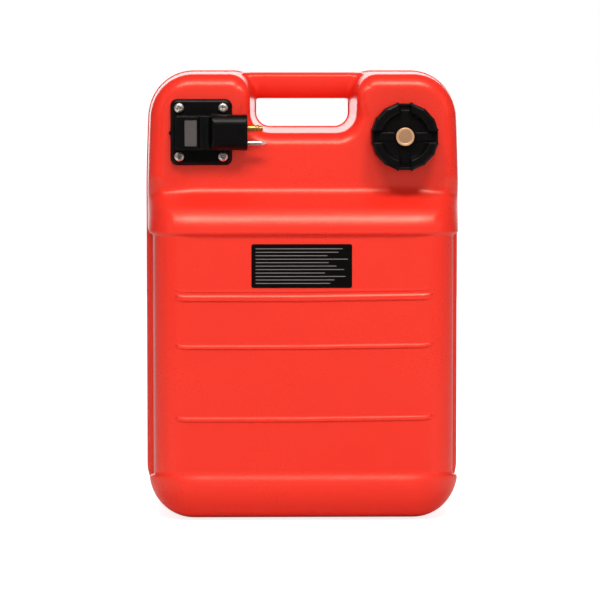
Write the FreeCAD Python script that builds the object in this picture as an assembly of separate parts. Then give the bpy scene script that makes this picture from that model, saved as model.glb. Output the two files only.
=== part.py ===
import FreeCAD, Part
import math
import os
from FreeCAD import Vector

# Portable outboard fuel tank, standing upright. Millimetres, X across, +Y to the back, +Z up.
# The origin is the middle of the footprint. Y = 0 is the mould's parting plane.

# Tank form
tank_width = 252.0            # over the parting bead
tank_height = 356.0
tank_depth = 176.0            # from the front of the bands to the back
wall = 3.0
outer_draft = 2.5             # degrees, mould draft of the outside
handle_draft = 4.5            # degrees, mould draft of the handle opening
top_corner_radius = 31.0
bottom_corner_radius = 29.0
band_edge_radius = 20.0
back_edge_radius = 12.0
bead_proud = 0.8
bead_width = 2.0

# Shelf that carries the fittings, and the slope below it
shelf_recess = 26.0           # behind the front of the bands
shelf_edge_radius = 13.0
shelf_height = 93.2           # of the shelf, from the slope to the tank's top
slope_height = 24.0
slope_nose_radius = 12.0

# Front and back panels between the two bands
panel_bottom = 38.5
upper_band_height = 11.4      # from the panels up to the slope
panel_recess = 3.5
panel_side_recess = 4.0
flange_width = 8.0            # parting flange left standing beside the panels
panel_edge_radius = 19.0
back_panel_edge_radius = 11.0
rib_side_margin = 26.5
rib_proud = 1.6
rib_round = 1.0
ribs = ((0.746, 5.6), (0.537, 4.2), (0.232, 4.2))   # share of the panel's height, width

# Handle
handle_half_width = 37.9      # of the opening, at the parting plane
handle_depth = 44.8           # of the opening, from the tank's top
handle_floor_radius = 12.0
shoulder_radius = 17.0
grip_height = 20.0
grip_drop = 1.3               # below the tank's top
grip_depth = 36.0
grip_radius = 8.5
grip_flare = 6.0              # how much the grip grows where it meets the shoulders
grip_flare_length = 9.0
grip_flare_steps = 5

# Filler neck, thread and cap. Heights are measured out from the shelf.
neck_side = 46.2              # neck's middle to the tank's side
neck_drop = 51.5              # neck's middle below the tank's top
neck_bore_radius = 16.5
neck_radius = 19.5
neck_height = 15.0
thread_pitch = 5.0
thread_height = 1.5
thread_root_width = 2.4
thread_crest_width = 1.2
neck_thread_start = 4.5
neck_thread_turns = 1.5
cap_thread_lead_in = 1.0 / 3.0   # turns that the cap's thread starts later
cap_thread_turns = 1.25
thread_clearance = 0.4
thread_root_sink = 0.2        # of a ridge into the wall that carries it
gasket_thickness = 2.0
gasket_lip = 1.0              # how far the cap gasket reaches past the neck
cap_radius = 27.0
cap_base_gap = 1.5            # cap skirt to shelf
cap_floor_thickness = 3.5
cap_rim_height = 4.5
cap_rim_inner_radius = 17.0
cap_rim_slope = 2.2
cap_rim_chamfer = 1.2
cap_gap_width = 9.7
cap_gap_inset = 0.9
cap_notch_radius = 1.0
cap_notch_offset = 0.35       # notch's middle outside the cap's side
cap_grips_per_quarter = 3

# Vent screw in the middle of the cap
vent_head_radius = 7.2
vent_head_height = 3.4
vent_shank_radius = 3.0
vent_shank_length = 9.0
vent_running_gap = 0.06
vent_bush_radius = 5.0
vent_bush_length = 8.0
vent_seal_inner_radius = 3.4
vent_seal_wire = 1.5
vent_knurls = 24
vent_knurl_radius = 0.35
vent_knurl_offset = 0.1       # groove's middle outside the head's side
vent_dish_radius = 5.2
vent_dish_depth = 0.4
vent_flat_depth = 0.7
vent_flat_end = 1.5           # of shank left round under the cap's floor

# Sender plate on the left, with the gauge housing and the fuel connector block
plate_side = 44.35            # plate's middle to the tank's side
plate_drop = 48.1             # plate's middle below the tank's top
plate_width = 48.5
plate_height = 52.2
plate_thickness = 4.0
plate_corner_radius = 5.5
plate_chamfer = 0.8
sender_gasket_thickness = 1.5
sender_gasket_margin = 0.4
spigot_radius = 20.5
spigot_depth = 7.5
spigot_clearance = 0.7
screw_spacing_x = 34.5
screw_spacing_z = 38.2
screw_radius = 1.95
screw_head_radius = 3.95
screw_head_height = 2.6
screw_cross_width = 1.1
screw_cross_depth = 1.5
screw_cross_reach = 2.2
screw_head_round = 1.6
screw_end_gap = 1.0           # shank's end to the insert's end
insert_radius = 3.0
insert_length = 9.0
insert_clearance = 0.02
boss_radius = 5.5
boss_end = 3.0                # of boss behind the insert

gauge_offset = 8.15           # window's middle to the left of the plate's
gauge_drop = 0.6              # and below it
window_width = 9.5
window_height = 20.5
lens_thickness = 2.0
lens_recess = 0.6
housing_height = 26.0
housing_face = 16.5           # out from the plate's underside
housing_left = 11.7           # from the gauge's middle
housing_round = 1.2
housing_right = 1.2           # from the window's right side
saddle_crest = 4.7            # from the window's right side
tab_length = 1.2
tab_height = 3.2
tab_round = 0.8
saddle_right = 16.5
saddle_drop = 3.5
block_left = 16.5
block_length = 28.1
block_height = 27.7
block_back = 2.6              # out from the plate's underside
block_face = 19.4
block_chamfer = 3.7

# Fuel connector
nipple_rise = 3.0             # above the plate's middle
locating_pin_spacing = 11.6
connector_axis = 12.0         # out from the shelf
nipple_radius = 2.8
nipple_length = 12.1
nipple_bore_radius = 1.4
nipple_groove_depth = 0.6
nipple_groove_width = 1.4
nipple_groove_gap = 0.8       # from the groove to the cone
nipple_cone_length = 3.388
nipple_tip_wall = 0.5
nipple_shank_radius = 3.3
nipple_shank_length = 9.0
locating_pin_radius = 2.1
locating_pin_length = 15.2
locating_pin_shank = 10.0
locating_pin_shank_radius = 1.7
locating_pin_cone_length = 3.8
locating_pin_point_radius = 0.5
passage_radius = 1.8

# Float gauge inside
drum_radius = 11.3
drum_width = 8.6
drum_gap = 0.6                # to the lens and to the housing's ends
cheek_thickness = 1.0
cheek_gap = 0.3
cheek_width = 8.0
bracket_foot = 6.0
cheek_beyond_pivot = 2.4
bracket_screw_radius = 1.0
bracket_screw_head_radius = 1.9
bracket_screw_length = 5.0
bracket_screw_head_height = 1.2
bracket_screw_slot = 0.5      # wide and deep
pivot_radius = 1.0
pivot_clearance = 0.06
wire_radius = 1.2
wire_root = 3.0               # the wire starts this far from the pivot's axis
wire_lean = 46.0              # degrees below the line into the tank, at rest
wire_crank = 30.0
wire_bend_radius = 6.0
float_reach = 137.0           # pivot to the float's middle
float_offset = 2.0            # how far behind the pivot the float hangs
float_radius = 13.0
float_length = 42.0
float_round = 3.0
float_gap = 0.8               # from the arm's clip to the float
clip_radius = 3.0
clip_thickness = 0.8

# Pick-up tube
pickup_inset = 2.5            # from the connector block's left side
pickup_radius = 4.0
pickup_bore_radius = 2.8
pickup_socket = 9.0
strainer_radius = 6.6
strainer_wall = 0.9
strainer_length = 24.0
strainer_grip = 6.0
strainer_floor_gap = 4.0
strainer_slots = 6
strainer_slot_width = 1.6
strainer_web = 2.0            # left at both ends of the slots, and in the tube's stop

# Label
label_x = -2.0
label_drop = 24.2             # label's middle below the panel's top edge
label_width = 79.0
label_height = 34.4
label_thickness = 0.3
label_corner_radius = 1.6

# Worked out from the sizes above
body_half_width = tank_width / 2 - bead_proud
body_height = tank_height - bead_proud
slope_top = body_height - shelf_height
slope_bottom = slope_top - slope_height
panel_top = slope_bottom - upper_band_height
handle_floor = body_height - handle_depth
grip_top = body_height - grip_drop
grip_bottom = grip_top - grip_height
rib_length = tank_width - 2 * rib_side_margin
neck_x = body_half_width - neck_side
neck_z = body_height - neck_drop
plate_x = plate_side - body_half_width
plate_z = body_height - plate_drop
gauge_x = plate_x - gauge_offset
gauge_z = plate_z - gauge_drop
nipple_z = plate_z + nipple_rise
locating_pin_z = nipple_z - locating_pin_spacing
label_z = panel_top - label_drop
band_front = -tank_depth / 2
back_face = tank_depth / 2
shelf_y = band_front + shelf_recess
panel_front = band_front + panel_recess
inner_shelf_y = shelf_y + wall
plate_back = shelf_y - sender_gasket_thickness
plate_front = plate_back - plate_thickness
housing_front = plate_back - housing_face
lens_back = housing_front + lens_recess + lens_thickness
pivot_y = lens_back + drum_gap + drum_radius
throat_half_width = drum_width / 2 + cheek_gap + cheek_thickness
throat_half_height = drum_radius + drum_gap
spigot_end = plate_back + spigot_depth
block_left_x = gauge_x + block_left
block_right_x = block_left_x + block_length
pickup_x = block_left_x + pickup_inset
connector_y = shelf_y - connector_axis
cap_underside = neck_height + gasket_thickness
cap_floor = cap_underside + cap_floor_thickness
skirt_inner_radius = neck_radius + thread_height + thread_clearance
float_x = gauge_x + wire_bend_radius + clip_thickness + float_gap + float_length / 2


def slope_of(degrees):
    return math.tan(math.radians(degrees))


def rounded_wire(corners, y):
    """A closed wire in the plane Y = y through corners (x, z, radius)."""
    points = [Vector(x, y, z) for x, z, radius in corners]
    arcs = []
    for i, (x, z, radius) in enumerate(corners):
        here = points[i]
        to_last = (points[i - 1] - here).normalize()
        to_next = (points[(i + 1) % len(points)] - here).normalize()
        half_angle = to_last.getAngle(to_next) / 2
        tangent = radius / math.tan(half_angle)
        centre = here + (to_last + to_next).normalize() * (radius / math.sin(half_angle))
        middle = centre + (here - centre).normalize() * radius
        arcs.append((here + to_last * tangent, middle, here + to_next * tangent))
    edges = []
    for i, (start, middle, end) in enumerate(arcs):
        edges.append(Part.Arc(start, middle, end).toShape())
        edges.append(Part.LineSegment(end, arcs[(i + 1) % len(arcs)][0]).toShape())
    return Part.Wire(edges)


def rounded_plate(x0, x1, z0, z1, y0, y1, radius):
    """A plate with rounded corners, seen from the front, between the planes y0 and y1."""
    corners = [(x0, z0, radius), (x0, z1, radius), (x1, z1, radius), (x1, z0, radius)]
    return Part.Face(rounded_wire(corners, y0)).extrude(Vector(0, y1 - y0, 0))


def box(x0, x1, y0, y1, z0, z1):
    return Part.makeBox(x1 - x0, y1 - y0, z1 - z0, Vector(x0, y0, z0))


def rod_out(x, z, y0, y1, radius):
    """A cylinder along Y from y0 to y1."""
    direction = Vector(0, math.copysign(1, y1 - y0), 0)
    return Part.makeCylinder(radius, abs(y1 - y0), Vector(x, y0, z), direction)


def rod_across(x0, x1, y, z, radius):
    return Part.makeCylinder(radius, x1 - x0, Vector(x0, y, z), Vector(1, 0, 0))


def edges_in_plane(shape, y):
    def flat(edge):
        return abs(edge.BoundBox.YMin - y) < 0.01 and abs(edge.BoundBox.YMax - y) < 0.01
    return [edge for edge in shape.Edges if flat(edge)]


def edge_points(edge):
    span = edge.LastParameter - edge.FirstParameter
    return [edge.valueAt(edge.FirstParameter + span * step / 6) for step in range(7)]


def body_outline(y, inset, notched, side_inset=0.0):
    """The tank seen from the front, at the depth y, with inset taken off all round."""
    draft_in = abs(y) * slope_of(outer_draft) + inset
    half = body_half_width - side_inset - draft_in
    top = body_height - draft_in
    bottom_radius = bottom_corner_radius - draft_in
    top_radius = top_corner_radius - draft_in
    corners = [(-half, inset, bottom_radius), (-half, top, top_radius)]
    if notched:
        notch_in = abs(y) * slope_of(handle_draft) + inset
        notch_half = handle_half_width + notch_in
        floor = handle_floor - notch_in
        shoulder = shoulder_radius - draft_in
        floor_radius = handle_floor_radius + notch_in
        corners += [(-notch_half, top, shoulder), (-notch_half, floor, floor_radius),
                    (notch_half, floor, floor_radius), (notch_half, top, shoulder)]
    corners += [(half, top, top_radius), (half, inset, bottom_radius)]
    return rounded_wire(corners, y)


def drafted_half(y, inset, notched, edge_radius):
    """The half of the tank from the parting plane to the plane y, its far edges rounded."""
    outlines = [body_outline(0, inset, notched), body_outline(y, inset, notched)]
    half = Part.makeLoft(outlines, True, True)
    return half.makeFillet(edge_radius - inset, edges_in_plane(half, y))


def slope_line(y, inset):
    """Height of the slope at the depth y, inset measured square to the slope."""
    run = slope_top - slope_bottom
    square = inset * math.hypot(run, shelf_recess) / shelf_recess
    return slope_bottom + (y - band_front) * run / shelf_recess - square


def below_slope(half, inset):
    """Cuts a half above the slope and rounds the slope's nose and side edges."""
    near, far = band_front * 1.5, shelf_y / 2
    beyond = tank_height * 2
    corners = [(near, slope_line(near, inset)), (near, beyond), (far, beyond),
               (far, slope_line(far, inset))]
    points = [Vector(-tank_width, y, z) for y, z in corners]
    cutter = Part.Face(Part.makePolygon(points + points[:1])).extrude(Vector(tank_width * 2, 0, 0))
    cut = half.cut(cutter)

    def on_nose(edge):
        points = edge_points(edge)
        on_slope = all(abs(p.z - slope_line(p.y, inset)) < 0.01 for p in points)
        return on_slope and any(abs(p.y - far) > 0.01 for p in points)
    return cut.makeFillet(slope_nose_radius - inset, [e for e in cut.Edges if on_nose(e)])


def panel_recess_cutter(side, inset, edge_radius):
    """What is taken off one half between the bands: side is -1 at the front, 1 at the back."""
    face = side * (tank_depth / 2 - panel_recess - inset)
    start = side * (flange_width / 2 - inset)
    outer = side * tank_depth
    low, high = sorted((start, outer))
    outlines = [body_outline(0, inset, False, panel_side_recess),
                body_outline(face, inset, False, panel_side_recess)]
    panel = Part.makeLoft(outlines, True, True)

    def upright(edge):
        box_of = edge.BoundBox
        at_face = abs(box_of.YMin - face) < 0.01 and abs(box_of.YMax - face) < 0.01
        return at_face and box_of.ZLength > panel_top - panel_bottom
    panel = panel.makeFillet(edge_radius - inset, [e for e in panel.Edges if upright(e)])
    zone = box(-tank_width, tank_width, low, high, panel_bottom - inset, panel_top + inset)
    return zone.cut(panel)


def tank_form(inset):
    """The tank's outside shrunk by inset, with no grip, neck or ribs."""
    upper = drafted_half(shelf_y + inset, inset, True, shelf_edge_radius)
    lower = below_slope(drafted_half(band_front + inset, inset, False, band_edge_radius), inset)
    front = upper.fuse(lower).removeSplitter().cut(panel_recess_cutter(-1, inset, panel_edge_radius))
    back = drafted_half(back_face - inset, inset, True, back_edge_radius)
    back = back.cut(panel_recess_cutter(1, inset, back_panel_edge_radius))
    return front.fuse(back).removeSplitter()


def parting_bead():
    """The thin bead that the mould leaves round the parting plane."""
    def ring(grow):
        outline = body_outline(0, -grow, True)
        solid = Part.Face(outline).extrude(Vector(0, bead_width, 0))
        return solid.translated(Vector(0, -bead_width / 2, 0))
    above_floor = box(-tank_width, tank_width, -bead_width, bead_width, 0, tank_height * 2)
    return ring(bead_proud).common(above_floor)


def grip_section(x, grow):
    """The grip's rounded outline at x, grown all round but hardly at the top."""
    half_y = grip_depth / 2 + grow
    low, high = grip_bottom - grow, min(grip_top + grow / 4, body_height - 0.5)
    outline = rounded_wire([(-half_y, low, grip_radius), (-half_y, high, grip_radius),
                            (half_y, high, grip_radius), (half_y, low, grip_radius)], 0)
    outline.rotate(Vector(0, 0, 0), Vector(0, 0, 1), 90)
    outline.translate(Vector(x, 0, 0))
    return outline


def grip():
    """The handle's grip, a rounded bar that flares into the shoulders at both ends."""
    end = handle_half_width + wall / 2
    start = end - grip_flare_length
    stations = []
    for step in range(grip_flare_steps + 1):
        along = step / grip_flare_steps
        grow = grip_flare * (1 - math.sqrt(1 - along ** 2))
        stations.append((start + along * grip_flare_length, grow))
    left = [grip_section(-x, grow) for x, grow in reversed(stations)]
    right = [grip_section(x, grow) for x, grow in stations]
    return Part.makeLoft(left + right, True, True)


def rib(share, width):
    z = panel_bottom + share * (panel_top - panel_bottom)
    half_x, half_z = rib_length / 2, width / 2
    bar = rounded_plate(-half_x, half_x, z - half_z, z + half_z,
                        panel_front - rib_proud, panel_front + wall / 2, half_z - 0.01)
    return bar.makeFillet(rib_round, edges_in_plane(bar, panel_front - rib_proud))


def thread_ridge(root_radius, crest_radius, start, turns):
    """A helical ridge about Z from the root radius to the crest radius."""
    inward = thread_root_sink if root_radius < crest_radius else -thread_root_sink
    root = root_radius - inward
    half_root, half_crest = thread_root_width / 2, thread_crest_width / 2
    profile = Part.makePolygon([Vector(root, 0, start - half_root),
                                Vector(crest_radius, 0, start - half_crest),
                                Vector(crest_radius, 0, start + half_crest),
                                Vector(root, 0, start + half_root),
                                Vector(root, 0, start - half_root)])
    path = Part.makeHelix(thread_pitch, thread_pitch * turns, root_radius)
    path.translate(Vector(0, 0, start))
    sweep = Part.BRepOffsetAPI.MakePipeShell(Part.Wire(path.Edges))
    sweep.setFrenetMode(True)
    sweep.add(profile)
    sweep.build()
    sweep.makeSolid()
    return sweep.shape()


def on_shelf(shape, x, z):
    """Turns a shape built up along Z so that it stands out from the shelf at (x, z)."""
    turned = shape.copy()
    turned.rotate(Vector(0, 0, 0), Vector(1, 0, 0), 90)
    turned.translate(Vector(x, shelf_y, z))
    return turned


def filler_neck():
    neck = Part.makeCylinder(neck_radius, neck_height + wall / 2, Vector(0, 0, -wall / 2))
    ridge = thread_ridge(neck_radius, neck_radius + thread_height, neck_thread_start,
                         neck_thread_turns)
    return on_shelf(neck.fuse(ridge), neck_x, neck_z)


def screw_places():
    for side in (-1, 1):
        for level in (-1, 1):
            yield plate_x + side * screw_spacing_x / 2, plate_z + level * screw_spacing_z / 2


def tank_shell():
    shell = tank_form(0.0).fuse([grip(), parting_bead()] + [rib(share, width) for share, width in ribs])
    shell = shell.cut(tank_form(wall))
    insert_end = shelf_y + insert_length
    bosses = [rod_out(x, z, inner_shelf_y - wall / 2, insert_end + boss_end, boss_radius)
              for x, z in screw_places()]
    shell = shell.fuse([filler_neck()] + bosses)
    bores = [on_shelf(Part.makeCylinder(neck_bore_radius, neck_height + wall * 3,
                                        Vector(0, 0, -wall * 2)), neck_x, neck_z)]
    bores.append(rod_out(plate_x, plate_z, shelf_y - wall, insert_end + boss_end + wall,
                         spigot_radius + spigot_clearance))
    bores += [rod_out(x, z, shelf_y - wall, insert_end, insert_radius) for x, z in screw_places()]
    return shell.cut(bores)


def label():
    return rounded_plate(label_x - label_width / 2, label_x + label_width / 2,
                         label_z - label_height / 2, label_z + label_height / 2,
                         panel_front - label_thickness, panel_front, label_corner_radius)


def filler_cap():
    """The cap: a threaded skirt, a floor with the vent's seat and a raised, gapped grip rim."""
    top = cap_floor + cap_rim_height
    cap = Part.makeCylinder(cap_radius, top - cap_base_gap, Vector(0, 0, cap_base_gap))
    cap = cap.makeChamfer(cap_rim_chamfer, [e for e in cap.Edges if e.BoundBox.ZMin > top - 0.01])
    dish = Part.makeCone(cap_rim_inner_radius, cap_rim_inner_radius + cap_rim_slope,
                         cap_rim_height, Vector(0, 0, cap_floor))
    cuts = [dish, Part.makeCylinder(skirt_inner_radius, cap_underside, Vector(0, 0, 0))]
    half_gap = math.degrees(math.asin(cap_gap_width / 2 / cap_radius))
    for quarter in range(4):
        turn = quarter * 90.0
        gap = Part.makeBox(cap_radius, cap_gap_width, top,
                           Vector(cap_rim_inner_radius / 2, -cap_gap_width / 2, cap_floor))
        flat = Part.makeBox(cap_radius, cap_gap_width, top * 2,
                            Vector(cap_radius - cap_gap_inset, -cap_gap_width / 2, 0))
        group = [gap, flat]
        step = (90.0 - 2 * half_gap) / cap_grips_per_quarter
        for notch in range(cap_grips_per_quarter + 1):
            groove = Part.makeCylinder(cap_notch_radius, top * 2, Vector(cap_radius + cap_notch_offset, 0, 0))
            groove.rotate(Vector(0, 0, 0), Vector(0, 0, 1), half_gap + notch * step)
            group.append(groove)
        for cut in group:
            cut.rotate(Vector(0, 0, 0), Vector(0, 0, 1), turn)
        cuts += group
    cuts.append(Part.makeCylinder(vent_bush_radius, top * 2, Vector(0, 0, 0)))
    cap = cap.cut(cuts)
    start = neck_thread_start - thread_pitch / 2 + cap_thread_lead_in * thread_pitch
    ridge = thread_ridge(skirt_inner_radius, skirt_inner_radius - thread_height, start,
                         cap_thread_turns)
    ridge.rotate(Vector(0, 0, 0), Vector(0, 0, 1), 360 * cap_thread_lead_in)
    return on_shelf(cap.fuse(ridge), neck_x, neck_z)


def cap_gasket():
    outer = Part.makeCylinder(neck_radius + gasket_lip, gasket_thickness, Vector(0, 0, neck_height))
    inner = Part.makeCylinder(neck_bore_radius, gasket_thickness, Vector(0, 0, neck_height))
    return on_shelf(outer.cut(inner), neck_x, neck_z)


def vent_bush():
    low = cap_floor - vent_bush_length
    bush = Part.makeCylinder(vent_bush_radius, vent_bush_length, Vector(0, 0, low))
    bore = Part.makeCylinder(vent_shank_radius + vent_running_gap, vent_bush_length,
                             Vector(0, 0, low))
    return on_shelf(bush.cut(bore), neck_x, neck_z)


def vent_seal():
    ring = Part.makeTorus(vent_seal_inner_radius + vent_seal_wire / 2, vent_seal_wire / 2,
                          Vector(0, 0, cap_floor + vent_seal_wire / 2))
    return on_shelf(ring, neck_x, neck_z)


def vent_screw():
    """The vent screw: a round knurled head, dished on its face, and a shank with a vent flat."""
    base = cap_floor + vent_seal_wire
    head = Part.makeCylinder(vent_head_radius, vent_head_height, Vector(0, 0, base))
    shank = Part.makeCylinder(vent_shank_radius, vent_shank_length + vent_seal_wire,
                              Vector(0, 0, cap_floor - vent_shank_length))
    dish = Part.makeCylinder(vent_dish_radius, vent_dish_depth,
                             Vector(0, 0, base + vent_head_height - vent_dish_depth))
    cuts = [dish]
    for knurl in range(vent_knurls):
        groove = Part.makeCylinder(vent_knurl_radius, vent_head_height,
                                   Vector(vent_head_radius + vent_knurl_offset, 0, base))
        groove.rotate(Vector(0, 0, 0), Vector(0, 0, 1), 360.0 * knurl / vent_knurls)
        cuts.append(groove)
    flat = Part.makeBox(vent_flat_depth * 2, vent_shank_radius * 2, vent_shank_length - vent_flat_end,
                        Vector(vent_shank_radius - vent_flat_depth, -vent_shank_radius,
                               cap_floor - vent_shank_length))
    return on_shelf(head.fuse(shank).cut(cuts + [flat]), neck_x, neck_z)


def plate_blank(y0, y1, margin):
    half_x, half_z = plate_width / 2 - margin, plate_height / 2 - margin
    return rounded_plate(plate_x - half_x, plate_x + half_x, plate_z - half_z, plate_z + half_z,
                         y0, y1, plate_corner_radius - margin)


def sender_gasket():
    gasket = plate_blank(shelf_y, plate_back, sender_gasket_margin)
    holes = [rod_out(plate_x, plate_z, shelf_y + 1, plate_back - 1, spigot_radius + spigot_clearance)]
    holes += [rod_out(x, z, shelf_y + 1, plate_back - 1, screw_radius + insert_clearance)
              for x, z in screw_places()]
    return gasket.cut(holes)


def connector_block():
    """The block that holds the fuel nipple, its two long front edges chamfered."""
    front, rear = plate_back - block_face, plate_back - block_back
    low, high = gauge_z - block_height / 2, gauge_z + block_height / 2
    bevel = block_chamfer
    corners = [(rear, low), (front + bevel, low), (front, low + bevel), (front, high - bevel),
               (front + bevel, high), (rear, high), (rear, low)]
    face = Part.Face(Part.makePolygon([Vector(block_left_x, y, z) for y, z in corners]))
    return face.extrude(Vector(block_length, 0, 0))


def saddle():
    """The rounded hump between the gauge window and the connector block."""
    left = gauge_x + window_width / 2
    right = gauge_x + saddle_right
    top, side = housing_front + saddle_drop / 4, housing_front + saddle_drop
    low = gauge_z - housing_height / 2
    crest = Part.Arc(Vector(left, side, low), Vector(left + saddle_crest, top, low),
                     Vector(right, side, low)).toShape()
    base = [Vector(right, side, low), Vector(right, plate_front, low),
            Vector(left, plate_front, low), Vector(left, side, low)]
    outline = Part.Wire([crest] + [Part.LineSegment(a, b).toShape() for a, b in zip(base, base[1:])])
    return Part.Face(outline).extrude(Vector(0, 0, housing_height))


def sender_housing():
    """The moulded plate with its spigot, gauge housing, saddle and connector block."""
    plate = plate_blank(plate_back, plate_front, 0.0)
    plate = plate.makeChamfer(plate_chamfer, edges_in_plane(plate, plate_front))
    spigot = rod_out(plate_x, plate_z, plate_front + 1, spigot_end, spigot_radius)
    left, right = gauge_x - housing_left, gauge_x + window_width / 2 + housing_right
    low, high = gauge_z - housing_height / 2, gauge_z + housing_height / 2
    housing = rounded_plate(left, right, low, high, plate_front + 1, housing_front, housing_round)
    tab = rounded_plate(plate_x - plate_width / 2 - tab_length, plate_x, gauge_z - tab_height / 2,
                        gauge_z + tab_height / 2, plate_back, plate_front + 1, tab_round)
    body = plate.fuse([spigot, housing, saddle(), connector_block(), tab])

    throat = box(gauge_x - throat_half_width, gauge_x + throat_half_width, lens_back, spigot_end + 1,
                 gauge_z - throat_half_height, gauge_z + throat_half_height)
    window = box(gauge_x - window_width / 2, gauge_x + window_width / 2, housing_front - 1,
                 lens_back + 1, gauge_z - window_height / 2, gauge_z + window_height / 2)
    lens_seat = box(*lens_span())
    socket = rod_out(pickup_x, nipple_z, spigot_end + 1, spigot_end - pickup_socket, pickup_radius)
    rise = rod_out(pickup_x, nipple_z, spigot_end, connector_y, pickup_bore_radius)
    drilling = rod_across(pickup_x, block_right_x, connector_y, nipple_z, passage_radius)
    nipple_seat = rod_across(block_right_x - nipple_shank_length, block_right_x + 1, connector_y,
                             nipple_z, nipple_shank_radius)
    pin_seat = rod_across(block_right_x - locating_pin_shank, block_right_x + 1, connector_y,
                          locating_pin_z, locating_pin_shank_radius)
    cuts = [throat, window, lens_seat, socket, rise, drilling, nipple_seat, pin_seat]
    cuts += [rod_out(x, z, plate_back + 1, plate_front - 1, screw_radius + insert_clearance)
             for x, z in screw_places()]
    cuts += [bracket_screw_hole(x) for x in bracket_screw_places()]
    return body.cut(cuts)


def lens_span():
    """The box of the lens in its seat: x0, x1, y0, y1, z0, z1."""
    half_x = window_width / 2
    half_z = window_height / 2
    return (gauge_x - half_x, gauge_x + half_x, lens_back - lens_thickness, lens_back,
            gauge_z - half_z, gauge_z + half_z)


def gauge_lens():
    return box(*lens_span())


def flange_screws():
    """Four pan-head screws with a cross recess."""
    screws = []
    for x, z in screw_places():
        face = plate_front - screw_head_height
        head = rod_out(x, z, plate_front, face, screw_head_radius)
        head = head.makeFillet(screw_head_round, edges_in_plane(head, face))
        shank = rod_out(x, z, plate_front, shelf_y + insert_length - screw_end_gap,
                        screw_radius)
        half, deep = screw_cross_width / 2, face + screw_cross_depth
        reach = screw_cross_reach
        cross = box(x - reach, x + reach, face - 1, deep, z - half, z + half)
        cross = cross.fuse(box(x - half, x + half, face - 1, deep, z - reach, z + reach))
        screws.append(head.fuse(shank).cut(cross))
    return Part.makeCompound(screws)


def screw_inserts():
    inserts = []
    for x, z in screw_places():
        body = rod_out(x, z, shelf_y, shelf_y + insert_length, insert_radius)
        bore = rod_out(x, z, shelf_y - 1, shelf_y + insert_length, screw_radius + insert_clearance)
        inserts.append(body.cut(bore))
    return Part.makeCompound(inserts)


def fuel_nipple():
    """The brass nipple: shank in the block, a grooved barrel and a coned tip, bored through."""
    x0 = block_right_x
    cone = nipple_cone_length
    shank = rod_across(x0 - nipple_shank_length, x0, connector_y, nipple_z, nipple_shank_radius)
    barrel = rod_across(x0, x0 + nipple_length - cone, connector_y, nipple_z, nipple_radius)
    tip = Part.makeCone(nipple_radius, nipple_bore_radius + nipple_tip_wall, cone,
                        Vector(x0 + nipple_length - cone, connector_y, nipple_z), Vector(1, 0, 0))
    groove_end = x0 + nipple_length - cone - nipple_groove_gap
    groove_start = groove_end - nipple_groove_width
    groove = rod_across(groove_start, groove_end, connector_y, nipple_z, nipple_radius + 1)
    groove = groove.cut(rod_across(groove_start, groove_end, connector_y, nipple_z,
                                   nipple_radius - nipple_groove_depth))
    bore = rod_across(x0 - nipple_shank_length, x0 + nipple_length, connector_y, nipple_z,
                      nipple_bore_radius)
    return shank.fuse([barrel, tip]).cut([groove, bore])


def locating_pin():
    x0 = block_right_x
    cone = locating_pin_cone_length
    shank = rod_across(x0 - locating_pin_shank, x0, connector_y, locating_pin_z,
                       locating_pin_shank_radius)
    body = rod_across(x0, x0 + locating_pin_length - cone, connector_y, locating_pin_z,
                      locating_pin_radius)
    tip = Part.makeCone(locating_pin_radius, locating_pin_point_radius, cone,
                        Vector(x0 + locating_pin_length - cone, connector_y, locating_pin_z),
                        Vector(1, 0, 0))
    return body.fuse([shank, tip])


def bracket_screw_places():
    offset = throat_half_width + bracket_foot / 2
    return gauge_x - offset, gauge_x + offset


def bracket_screw_hole(x):
    return rod_out(x, gauge_z, spigot_end + 1, spigot_end - bracket_screw_length + cheek_thickness,
                   bracket_screw_radius)


def float_bracket():
    """Two cheeks that carry the pivot pin, each with a foot under the spigot."""
    pieces = []
    for side in (-1, 1):
        inner = gauge_x + side * (throat_half_width - cheek_thickness)
        outer = gauge_x + side * throat_half_width
        edge = gauge_x + side * (throat_half_width + bracket_foot)
        x0, x1 = sorted((inner, outer))
        cheek = box(x0, x1, pivot_y - cheek_beyond_pivot, spigot_end + cheek_thickness,
                    gauge_z - cheek_width / 2, gauge_z + cheek_width / 2)
        x0, x1 = sorted((inner, edge))
        foot = box(x0, x1, spigot_end, spigot_end + cheek_thickness,
                   gauge_z - cheek_width / 2, gauge_z + cheek_width / 2)
        pieces.append(cheek.fuse(foot))
    holes = [rod_across(gauge_x - throat_half_width - 1, gauge_x + throat_half_width + 1, pivot_y,
                        gauge_z, pivot_radius)]
    holes += [bracket_screw_hole(x) for x in bracket_screw_places()]
    return Part.makeCompound([piece.cut(holes) for piece in pieces])


def bracket_screws():
    screws = []
    for x in bracket_screw_places():
        base = spigot_end + cheek_thickness
        shank = rod_out(x, gauge_z, base, base - bracket_screw_length, bracket_screw_radius)
        face = base + bracket_screw_head_height
        head = rod_out(x, gauge_z, base, face, bracket_screw_head_radius)
        slot = box(x - bracket_screw_head_radius, x + bracket_screw_head_radius,
                   face - bracket_screw_slot, face + 1,
                   gauge_z - bracket_screw_slot / 2, gauge_z + bracket_screw_slot / 2)
        screws.append(shank.fuse(head).cut(slot))
    return Part.makeCompound(screws)


def pivot_pin():
    return rod_across(gauge_x - throat_half_width, gauge_x + throat_half_width, pivot_y, gauge_z,
                      pivot_radius)


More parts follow.
